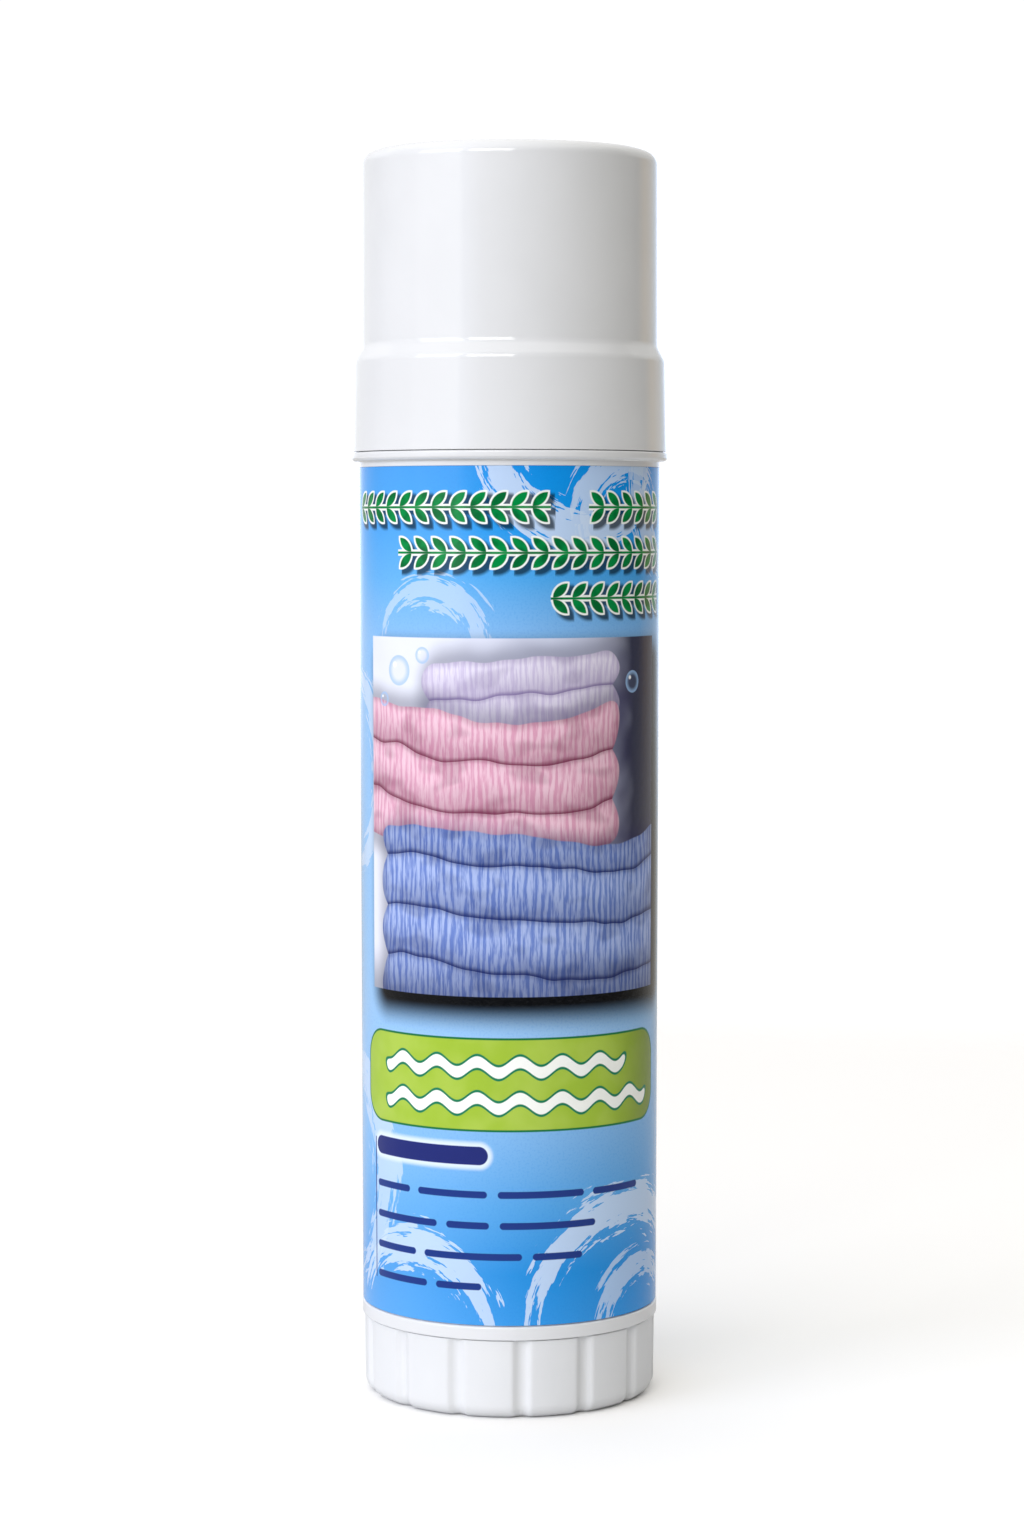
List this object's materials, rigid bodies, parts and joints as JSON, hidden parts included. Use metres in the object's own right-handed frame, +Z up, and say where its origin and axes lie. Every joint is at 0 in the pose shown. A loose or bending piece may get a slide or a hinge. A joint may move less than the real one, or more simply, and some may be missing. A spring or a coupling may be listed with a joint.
{
  "type": "stain remover stick",
  "caption": "Twist-up stain remover stick: white tube with a pull-off cap, a wrap-round label and a fluted dial that lifts the cake by a lead screw.",
  "frame": {"origin": "middle of the foot, on the surface that the stick stands on", "axes": "+Z up along the tube; -Y faces the picture's camera"},
  "size_m": [0.033, 0.033, 0.13],
  "materials": {
    "tube": "glossy white moulded polypropylene",
    "label": "satin printed film, azure with pale swirls",
    "dial": "satin white moulded polypropylene",
    "mechanism": "natural white moulded plastic",
    "washer": "matt rubber",
    "cake": "waxy off-white cake",
    "cap": "high-gloss white moulded polypropylene",
    "liner": "matt foamed liner"
  },
  "bodies": {
    "barrel": {"barrel": "tube", "label": "label", "spindle_seal": "washer"},
    "dial": {"dial": "dial", "spindle": "mechanism"},
    "carrier": {"carrier": "mechanism", "stain_stick": "cake"},
    "cap": {"cap": "cap", "cap_seal": "liner"}
  },
  "joints": [
    {"name": "dial_turn", "type": "hinge", "parent": "barrel", "child": "dial", "pos_m": [0, 0, 0], "axis": [0, 0, -1], "range_deg": [0, 5760]},
    {"name": "carrier_rise", "type": "slide", "parent": "barrel", "child": "carrier", "axis": [0, 0, 1], "range_m": [0, 0.096]},
    {"name": "cap_pull", "type": "slide", "parent": "carrier", "child": "cap", "axis": [0, 0, 1], "range_m": [0, 0.04]}
  ],
  "couplings": [
    {"joint": "dial_turn", "follows": "carrier_rise", "rad_per_m": 1047.2}
  ]
}
